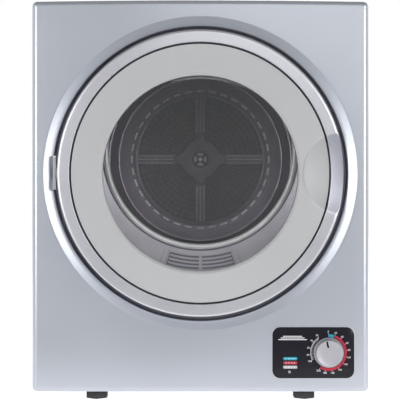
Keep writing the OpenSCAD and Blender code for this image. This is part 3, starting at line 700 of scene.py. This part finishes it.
def sector_ring(radius, width, depth, count, y_front, y_back, cut):
    """Points and faces of a disc band from radius with count slots of width and depth through it."""
    step = 2 * math.pi / count
    points, faces = [], []
    radii = [radius - depth / 2 - cut, radius - depth / 2, radius + depth / 2, radius + depth / 2 + cut]
    half = width / 2 / radius
    marks = [-step / 2, -half, half]
    for y in (y_front, y_back):
        for k in range(count):
            for mark in marks:
                angle = k * step + mark
                points += [about_drum(r, angle, y) for r in radii]
    columns = count * 3
    layer = columns * 4
    for c in range(columns):
        d = (c + 1) % columns
        for r in range(3):
            open_here = c % 3 == 1 and r == 1
            a, b, e, f = c * 4 + r, c * 4 + r + 1, d * 4 + r + 1, d * 4 + r
            if not open_here:
                faces += [[a, b, e, f], [layer + f, layer + e, layer + b, layer + a]]
            else:
                faces += [[a, b, layer + b, layer + a], [b, e, layer + e, layer + b],
                          [e, f, layer + f, layer + e], [f, a, layer + a, layer + f]]
        faces += [[c * 4, d * 4, layer + d * 4, layer + c * 4],
                  [c * 4 + 3, layer + c * 4 + 3, layer + d * 4 + 3, d * 4 + 3]]
    return points, faces


def drum_back():
    """Stepped rear wall: shoulder, sloping well side, slotted floor ring and a bright ring behind the slots
    as painted highlight.
    """
    slot_r = 121.6
    shoulder = fillet([(slot_r + 6, WELL_Y, 0), (WELL_FLOOR_R, WELL_Y, 3), (WELL_R, DRUM_BACK, 4),
                       (DRUM_R - 1.5, DRUM_BACK, 0), (DRUM_R - 1.5, DRUM_BACK + 0.9, 0),
                       (WELL_R + 1, DRUM_BACK + 0.9, 4), (WELL_FLOOR_R + 1, WELL_Y + 0.9, 3),
                       (slot_r + 6, WELL_Y + 0.9, 0)])
    lathe("drum_rear_shoulder", densify(shoulder, 4), 0, DRUM_Z, DRUM_STEEL, "drum",
          ["drum_rear_wall"], 240)
    points, faces = sector_ring(slot_r, 13, 3.2, HOLE_COUNT, WELL_Y, WELL_Y + 0.9, 4.4)
    mesh("drum_slot_ring", points, faces, DRUM_STEEL, "drum")
    # painted highlight: a bright ring behind the slots stands in for the lit slot walls
    slot_highlight = band(slot_r - 2.2, slot_r + 2.2, WELL_Y + 0.9, WELL_Y + 0.6, 0.1, 2)
    lathe("drum_slot_highlight_ring", slot_highlight, 0, DRUM_Z, LIP_STEEL, "drum", steps=180)
    floor = fillet([(40, WELL_Y + 0.1, 0), (slot_r - 6, WELL_Y + 0.1, 0), (slot_r - 6, WELL_Y + 0.9, 0),
                    (40, WELL_Y + 0.9, 0)])
    lathe("drum_well_floor", densify(floor, 8), 0, DRUM_Z, DRUM_STEEL, "drum", steps=180)


drum()
drum_back()


def polar(radius, angle, aside=0.0, centre=(0, DRUM_Z)):
    """X and Z at a distance from an axis along Y, moved sideways by aside."""
    return (centre[0] + radius * math.cos(angle) - aside * math.sin(angle),
            centre[1] + radius * math.sin(angle) + aside * math.cos(angle))


def spokes(name, bars, y_front, y_back, material, body, replaces=(), centre=(0, DRUM_Z)):
    """One mesh of rounded bars, each given as (angle, from radius, to radius, half width, aside)."""
    points, faces = [], []
    for angle, low, high, half, aside in bars:
        section = band(-half, half, y_back, y_front, half * 0.7, 3)
        first, count = len(points), len(section)
        stations = [(low, 0.7), (low + half, 1), (high - half, 1), (high, 0.7)]
        for radius, swell in stations:
            for across, y in section:
                x, z = polar(radius, angle, aside + across * swell, centre)
                points.append((x, y, z))
        faces += quads(len(stations), count, first=first)
        faces += [[first + k for k in range(count)],
                  [len(points) - 1 - k for k in range(count)]]
    return mesh(name, points, faces, material, body, replaces)


def star_radius(angle, waist, arm):
    """Radius of the four-armed boss at an angle."""
    away = abs((angle + math.pi / 4) % (math.pi / 2) - math.pi / 4)
    return waist + (arm - waist) * math.exp(-(away / 0.245) ** 4)


def filter_cover():
    """Lint filter cover: rim, web of fine ribs, star boss, four arms with raised lines in a lighter plastic
    that is painted highlight.
    """
    front, back = FILTER_Y, FILTER_Y + 4.8
    rim = fillet([(FILTER_R - 6, back, 0), (FILTER_R - 6, front + 0.6, 1), (FILTER_R - 4, front, 1),
                  (FILTER_R, front, 1.4), (FILTER_R, back, 0.4)])
    lathe("filter_rim", densify(rim, 3), 0, DRUM_Z, FILTER, "filter_cover",
          ["filter_cover"], 240)
    web = [(math.radians(a), 36, 111.5, 0.55, 0) for a in np.arange(0, 360, 6) if 8 < a % 90 < 82]
    spokes("filter_web", web, front + 1.4, back, FILTER, "filter_cover")
    for i, radius in enumerate(np.linspace(52, 104, 7)):
        hoop = band(radius - 0.6, radius + 0.6, back, front + 1.3, 0.4, 3)
        lathe(f"filter_hoop_{i + 1}", hoop, 0, DRUM_Z, FILTER, "filter_cover", steps=180)
    arms = [(math.radians(a), 38, 111.6, 9.5, 0) for a in (0, 90, 180, 270)]
    spokes("filter_arms", arms, front + 1.1, back, FILTER, "filter_cover")
    # the raised lines are real ridges, but their lighter plastic is painted highlight for the glints along
    # the arms
    lines = [(math.radians(a), 48, 110, 0.8, aside)
             for a in (0, 90, 180, 270) for aside in (-6.5, 0, 6.5)]
    spokes("filter_arm_highlight_lines", lines, front + 0.3, back - 2, RIB, "filter_cover")
    boss = []
    profile = [(1.0, back), (1.0, front + 2.2), (0.985, front + 1.2), (0.95, front + 0.6),
               (0.88, front + 0.25), (0.7, front + 0.15), (0.45, front + 0.5), (0.41, front + 0.9),
               (0.30, front + 1), (0.245, back)]
    for share, y in profile:
        mix = min(1, max(0, (share - 0.35) / 0.5))
        one = []
        for angle in turn(288):
            radius = share * (mix * star_radius(angle, 36, 46) + (1 - mix) * BOSS_R)
            one.append(about_drum(radius, angle, y))
        boss.append(one)
    loft("filter_boss", boss, FILTER, "filter_cover")


def filter_knob():
    """Hub knob with four curved windows between its spokes."""
    front, back = span("filter_knob")[0][1], FILTER_Y + 0.5
    bands = [[14.2, front, back, 2.4], [5.6, front + 0.3, back, 2.4]]
    for i, (radius, y0, y1, width) in enumerate(bands):
        outline = fillet([(radius - width, y1, 0), (radius - width, y0, 0.8), (radius, y0, 0.9),
                          (radius, y1, 0)], 5)
        lathe(f"filter_knob_ring_{i + 1}", outline, 0, DRUM_Z, GLOSS_BLACK, "filter_knob",
              ["filter_knob"] if i == 0 else (), 120)
    cross = [(math.radians(a), 4.5, 12.8, 1.9, 0) for a in (45, 135, 225, 315)]
    spokes("filter_knob_cross", cross, front + 0.3, back, GLOSS_BLACK, "filter_knob")
    floor = band(3.2, 13.4, back, back - 0.6)
    lathe("filter_knob_floor", floor, 0, DRUM_Z, RIB, "filter_knob", steps=90)


def lifter(node):
    """Paddle with a rounded crest and domed ends."""
    low, high = span(node)
    middle = (low + high) / 2
    angle = math.atan2(middle[2] - DRUM_Z, middle[0])
    front, back = low[1], high[1]
    base_r = 203.4  # where the paddle stands on the barrel
    section = fillet([(base_r, -25, 1), (198, -21, 6), (171, -8, 8), (171, 8, 8), (198, 21, 6),
                      (base_r, 25, 1)], 8)
    rings = []
    for y, rise in [(front, 0.0), (front + 2, 0.45), (front + 8, 0.82), (front + 18, 0.97), (front + 28, 1.0),
                    (back - 28, 1.0), (back - 18, 0.97), (back - 8, 0.82), (back - 2, 0.45), (back, 0.0)]:
        one = []
        for radius, aside in section:
            x, z = polar(base_r - (base_r - radius) * max(rise, 0.02), angle, aside * (0.82 + 0.18 * rise))
            one.append((x, y, z))
        rings.append(one)
    capped(f"{node}_skin", rings, MID, "drum", [node])


filter_cover()
filter_knob()
for index in (1, 2, 3):
    lifter(f"drum_lifter_{index}")


# ---- controls ---------------------------------------------------------------------------

FASCIA_Y = FASCIA_LOW[1]
INK = 0.12  # thickness of the printed marks
FLUTES = 36  # round the timer knob


def rounded_rect(x, z, width, height, radius, steps=8):
    """Outline of a rectangle with rounded corners."""
    points = []
    for k, (sx, sz) in enumerate([(1, 1), (-1, 1), (-1, -1), (1, -1)]):
        points += arc(x + sx * (width / 2 - radius), z + sz * (height / 2 - radius), radius,
                      90 * k, 90 * k + 90, steps)
    return points


def plate(name, x, z, width, height, radius, y_back, y_front, bevel, material, body, replaces=()):
    """A flat plate with rounded corners and a bevelled front edge; y_front may be on either side."""
    toward = 1 if y_back > y_front else -1
    levels = [(0, y_back), (0, y_front + toward * bevel)]
    levels += [(bevel * (1 - math.cos(a)), y_front + toward * bevel * (1 - math.sin(a)))
               for a in np.radians([30, 60, 90])]
    levels += [(min(width, height) * 0.25, y_front)]
    rings = []
    for inset, y in levels:
        corner = max(radius - inset, 0.05)
        outline = rounded_rect(x, z, width - 2 * inset, height - 2 * inset, corner)
        rings.append([(px, y, pz) for px, pz in outline])
    return capped(name, rings, material, body, replaces)


def dial_band(name, r_in, r_out, start, end, material):
    """A printed arc round the knob; angles run clockwise from the top."""
    count = max(3, int(abs(end - start) / 2) + 2)
    section = [(r_in, FASCIA_Y + 0.1), (r_in, FASCIA_Y - INK), ((r_in + r_out) / 2, FASCIA_Y - INK - 0.03),
               (r_out, FASCIA_Y - INK), (r_out, FASCIA_Y + 0.1)]
    rings = []
    for angle in np.radians(90 - np.linspace(start, end, count)):
        one = []
        for radius, y in section:
            x, z = polar(radius, angle, 0, KNOB_CENTRE)
            one.append((x, y, z))
        rings.append(one)
    return capped(name, rings, material, "cabinet")


def label(name, text, x, z, size, material):
    """Raised printed characters on the fascia."""
    curve = bpy.data.curves.new(name, "FONT")
    curve.body = text
    curve.size = size
    curve.align_x, curve.align_y = "CENTER", "CENTER"
    curve.extrude = INK / 2
    curve.resolution_u = 4
    holder = bpy.data.objects.new(name, curve)
    bpy.context.scene.collection.objects.link(holder)
    flat = bpy.data.meshes.new_from_object(holder)
    points = [(x + v.co.x, FASCIA_Y - v.co.z - INK / 4, z + v.co.y) for v in flat.vertices]
    faces = [list(p.vertices) for p in flat.polygons]
    bpy.data.objects.remove(holder)
    bpy.data.curves.remove(curve)
    bpy.data.meshes.remove(flat)
    return mesh(f"{name}_print", points, faces, material, "cabinet")


def fascia():
    """The gloss panel in a thin silver trim that is painted highlight on its edge, with the dial's arcs,
    ticks and minutes.
    """
    width, height = FASCIA_HIGH[0] - FASCIA_LOW[0], FASCIA_HIGH[2] - FASCIA_LOW[2]
    x, z = (FASCIA_HIGH[0] + FASCIA_LOW[0]) / 2, (FASCIA_HIGH[2] + FASCIA_LOW[2]) / 2
    # painted highlight: a lighter silver band round the panel stands in for the highlight on the recess edge
    plate("fascia_highlight_trim", x, z, width + 1, height + 1, 12, FACE_Y + 0.3, FASCIA_Y + 0.75, 0.3,
          DOOR_SILVER, "cabinet")
    plate("fascia_plate", x, z, width, height, 11.5, FACE_Y, FASCIA_Y, 0.7, GLOSS_BLACK, "cabinet",
          ["control_fascia"])
    arcs = [("cool", 22.4, -1, 18, INK_CYAN), ("long", 22.8, 20, 209, INK_RED),
            ("short", 25.3, 245, 326, INK_GREY)]
    for name, inner, start, end, shade in arcs:
        dial_band(f"dial_arc_{name}", inner, 26.8, start, end, shade)
    long_marks = [(-1, 0), (20, 20), (41, 40), (63, 60), (83, 80), (104, 100), (125, 120), (147, 140),
                  (169, 160), (190, 180), (209, 200)]
    short_marks = [(245, 100), (263, 80), (283, 60), (305, 40), (326, 20)]
    for place, minutes in long_marks + short_marks:
        angle = math.radians(90 - place)
        px, pz = polar(30.4, angle, 0, KNOB_CENTRE)
        label(f"dial_number_{place % 360}", str(minutes), px, pz, 3.9, INK_WHITE)
        dial_band(f"dial_tick_{place % 360}", 26.9, 28.0, place - 0.7, place + 0.7, INK_WHITE)
    for place in range(247, 326, 5):
        dial_band(f"dial_fine_{place}", 22.9, 25.1, place - 0.7, place + 0.7, INK_GREY)


def printed(name, x, z, width, height, radius, lift, bevel, shade, back=FASCIA_Y):
    """A flat printed mark that stands lift proud of the fascia."""
    plate(name, x, z, width, height, radius, back, FASCIA_Y - lift, bevel, shade, "cabinet")


def fascia_marks():
    """Plain generic signs: three programme pills, a clock and a warm-air sign."""
    pill_x, pill_w, pill_h = 131.5, 20.5, 4.3
    for name, z, shade in [("cool", 63.8, INK_CYAN), ("long", 57.5, INK_RED), ("short", 51.3, INK_GREY)]:
        printed(f"pill_{name}", pill_x, z, pill_w, pill_h, 1.4, INK, 0.08, shade, FASCIA_Y + 0.1)
        for k in range(4):
            printed(f"pill_{name}_dot_{k + 1}", pill_x - 6 + 4 * k, z, 2.2, 0.9, 0.4, INK + 0.05, 0.04,
                    INK_WHITE)
    outline = band(1.3, 1.8, FASCIA_Y, FASCIA_Y - INK, 0.03, 2)
    lathe("clock_ring", outline, pill_x - 1, 44.2, INK_WHITE, "cabinet", steps=48)
    hands = [(math.radians(90), 0.1, 1.3, 0.18, 0), (math.radians(0), 0.1, 1.0, 0.18, 0)]
    spokes("clock_hands", hands, FASCIA_Y - INK, FASCIA_Y, INK_WHITE, "cabinet",
           centre=(pill_x - 1, 44.2))
    for k in range(3):
        printed(f"air_bar_{k + 1}", 135, 91.6 + 2.4 * k, 42 - 7 * k, 1.25, 0.6, INK, 0.05, INK_WHITE,
                FASCIA_Y + 0.1)


def timer_knob():
    """Turned knob: flange, fluted skirt, dished face with a raised edge and a black pointer."""
    front, back = KNOB_LOW[1], KNOB_HIGH[1]
    profile = [(4.2, back, 0), (21.4, back, 0), (21.9, back - 0.3, 0), (21.9, back - 1.6, 0),
               (21.5, back - 2.1, 0), (20.9, back - 2.4, 1), (20.4, front + 5, 1),
               (19.7, front + 1.2, 1), (19.3, front + 0.4, 0),
               (18.6, front, 0), (17.6, front + 0.1, 0), (17.0, front + 0.45, 0), (10, front + 0.75, 0),
               (0.05, front + 0.8, 0), (0.05, front + 2.5, 0), (4.2, front + 2.5, 0)]
    rings = []
    for radius, y, fluted in profile:
        one = []
        for angle in turn(12 * FLUTES):
            wave = math.cos(angle * FLUTES)
            reach = radius - fluted * 0.42 * max(0, wave) ** 2
            one.append((KNOB_X + reach * math.cos(angle), y, KNOB_Z + reach * math.sin(angle)))
        rings.append(one)
    loft("timer_knob_skin", rings, KNOB, "timer_knob", ["timer_knob"])
    spokes("timer_pointer", [(math.radians(103), 8.8, 18.4, 1.35, 0)], front, front + 1, GLOSS_BLACK,
           "timer_knob", centre=KNOB_CENTRE)


fascia()
fascia_marks()
timer_knob()


# ---- feet, back and small parts ---------------------------------------------------------

def foot(node):
    """Six-sided levelling foot with rounded corners, a hollow sole and a collar."""
    low, high = span(node)
    x, y = (low[0] + high[0]) / 2, (low[1] + high[1]) / 2
    flat = (high[0] - low[0]) / 2
    hexagon = [(flat / math.cos(math.pi / 6) * math.cos(a), flat / math.cos(math.pi / 6) * math.sin(a), 2.2)
               for a in np.radians(np.arange(30, 390, 60))]
    outline = densify(fillet(hexagon, 6), 4)
    # share of the hexagon's size at each height
    levels = [(0.3, 0.6), (0.55, 0.6), (0.6, 0.0), (0.93, 0.0), (0.99, 1.2), (0.99, 9.4), (0.95, 10.8),
              (0.62, 11.0), (0.58, 11.4), (0.55, 13.4), (0.3, 13.6)]
    rings = [[(x + px * k, y + py * k, z) for px, py in outline] for k, z in levels]
    capped(f"{node}_skin", rings, RUBBER, node, [node])


for node in ("foot_front_left", "foot_front_right", "foot_rear_left", "foot_rear_right"):
    foot(node)


def rear_details():
    """Spigot with grip ridges, raised bands on the back sheet and a plain label."""
    low, high = span("exhaust_spigot")
    x, z = (low[0] + high[0]) / 2, (low[2] + high[2]) / 2
    end = high[1]
    tube = [(48.05, REAR_Y - 14, 0), (48.05, end, 0.8), (50, end, 0.8)]
    for y in (end - 6, end - 12, end - 18):
        tube += [(50, y + 1.2, 0.3), (49.3, y + 0.6, 0.3), (49.3, y - 0.6, 0.3), (50, y - 1.2, 0.3)]
    tube += [(50, REAR_Y + 2, 0.8), (57.8, REAR_Y + 2, 0.8), (57.8, REAR_Y + 0.1, 0), (48.7, REAR_Y + 0.1, 0),
             (48.7, REAR_Y - 14, 0)]
    lathe("spigot_skin", fillet(tube, 4), x, z, WHITE, "cabinet", ["exhaust_spigot"], 180)
    for k, bz in enumerate((360, 430, 500)):
        plate(f"back_band_{k + 1}", 0, bz, 380, 26, 12.5, REAR_Y - 0.2, REAR_Y + 1.1, 1.2, ZINC, "cabinet")
    plate("back_label", -120, 120, 90, 50, 3, REAR_Y - 0.1, REAR_Y + 0.25, 0.1, WHITE, "cabinet")
    for k in range(5):
        plate(f"back_label_line_{k + 1}", -126, 137 - 8 * k, 66 - 6 * (k % 3), 1.6, 0.7, REAR_Y,
              REAR_Y + 0.35, 0.05, INK_GREY, "cabinet")


rear_details()


# ---- CAD nodes that stay in view --------------------------------------------------------

NODE_LOOKS = {
    ZINC: ["rear_panel", "base_pan", "front_bulkhead", "rear_bulkhead", "motor_bracket", "heater_duct"],
    STEEL: ["fan_axle", "rear_panel_screws", "drum_shaft", "drum_bearing", "door_screws",
            "heater_element", "timer_shaft", "motor_rotor", "hinge_pin"],
    FELT: ["drum_front_felt", "drum_rear_felt"],
    RUBBER: ["drum_belt", "fan_belt", "cord_gland", "door_seal", "wiring_harness"],
    DARK: ["door_switch", "door_catch", "latch_strike", "thermostats"],
    WHITE: ["fan_housing", "fan_impeller", "terminal_block", "timer_body", "motor_capacitor",
            "switch_plunger", "catch_pawl"],
    MOTOR: ["motor_body"],
    HINGE: ["hinge_bracket", "hinge_leaf"],
    SCREEN: ["filter_screen"],
}
for look, names in NODE_LOOKS.items():
    for node in names:
        for material_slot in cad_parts[node].material_slots:
            material_slot.material = look


# ---- floor, light and camera, in metres -------------------------------------------------

FLOOR_NEAR, FLOOR_FAR = (0.2, 0.2, 0.205, 1), (0.95, 0.95, 0.95, 1)  # tones before and under the dryer
FLOOR_TURN = (-0.75, -0.21)  # Y where the floor's tone starts and stops changing
BOX_AIM = (0, -0.1, 0.33)
CAMERA_PLACE, LENS = (-0.0006, -1.639, 0.296), 89.0

def studio():
    """A pale floor that darkens towards the camera, four soft boxes and a dimmer sky overhead."""
    scene = bpy.context.scene
    floor_data = bpy.data.meshes.new("studio_floor")
    reach = 6.0
    corners = [(-reach, -reach, 0), (reach, -reach, 0), (reach, reach, 0), (-reach, reach, 0)]
    floor_data.from_pydata(corners, [], [[0, 1, 2, 3]])
    material, nodes, links, shader = new_material("studio_white")
    place = object_place(nodes)
    split = nodes.new("ShaderNodeSeparateXYZ")
    links.new(place, split.inputs["Vector"])
    tone = nodes.new("ShaderNodeValToRGB")
    tone.color_ramp.elements[0].color = FLOOR_NEAR
    tone.color_ramp.elements[1].color = FLOOR_FAR
    links.new(ease(nodes, links, split.outputs["Y"], *FLOOR_TURN), tone.inputs["Fac"])
    links.new(tone.outputs["Color"], shader.inputs["Base Color"])
    links.new(tone.outputs["Color"], shader.inputs["Emission Color"])
    settle(shader, Roughness=0.9, Emission_Strength=0.78)
    floor_data.materials.append(material)
    floor = bpy.data.objects.new("studio_floor", floor_data)
    scene.collection.objects.link(floor)

    world = bpy.data.worlds.new("studio")
    world.use_nodes = True
    scene.world = world
    nodes, links = world.node_tree.nodes, world.node_tree.links
    sky = nodes.new("ShaderNodeTexCoord")
    split = nodes.new("ShaderNodeSeparateXYZ")
    links.new(sky.outputs["Generated"], split.inputs["Vector"])

    def fade(axis, start, end, from_value, to_value):
        node = settle(nodes.new("ShaderNodeMapRange"), From_Min=start, From_Max=end,
                      To_Min=from_value, To_Max=to_value)
        node.interpolation_type = "SMOOTHSTEP"
        links.new(split.outputs[axis], node.inputs["Value"])
        return node.outputs["Result"]

    both = nodes.new("ShaderNodeMath")
    both.operation = "MULTIPLY"
    links.new(fade("Z", 0.28, 0.75, 1.0, 0.2), both.inputs[0])
    links.new(fade("Y", -0.9, 0.0, 0.38, 1.0), both.inputs[1])
    links.new(both.outputs["Value"], nodes["Background"].inputs["Color"])
    nodes["Background"].inputs["Strength"].default_value = 1.0

    def soft_box(name, place, width, height, power):
        light = bpy.data.lights.new(name, "AREA")
        light.shape = "RECTANGLE"
        light.size, light.size_y = width, height
        light.energy = power
        holder = bpy.data.objects.new(name, light)
        holder.location = place
        aim = np.array(BOX_AIM) - np.array(place)
        flat = math.hypot(aim[0], aim[1])
        holder.rotation_euler = (math.pi / 2 + math.atan2(aim[2], flat), 0,
                                 math.atan2(aim[1], aim[0]) - math.pi / 2)
        scene.collection.objects.link(holder)

    soft_box("box_left", (-1.15, -1.62, 0.42), 0.8, 1.3, 15)
    soft_box("box_right", (1.15, -1.62, 0.42), 0.8, 1.3, 17)
    soft_box("box_front", (0.25, -2.4, 1.2), 0.8, 0.8, 3)
    soft_box("box_back", (0.6, 2.0, 1.2), 1.2, 1.2, 12)
    scene.view_settings.view_transform = "Standard"
    scene.view_settings.look = "None"


def camera():
    """Level view of the front from the height and distance the photograph shows."""
    data = bpy.data.cameras.new("front_view")
    data.lens, data.sensor_width = LENS, 36
    data.dof.use_dof = False
    holder = bpy.data.objects.new("front_view", data)
    holder.location = CAMERA_PLACE
    holder.rotation_euler = (math.pi / 2, 0, 0)
    bpy.context.scene.collection.objects.link(holder)
    bpy.context.scene.camera = holder


studio()
camera()
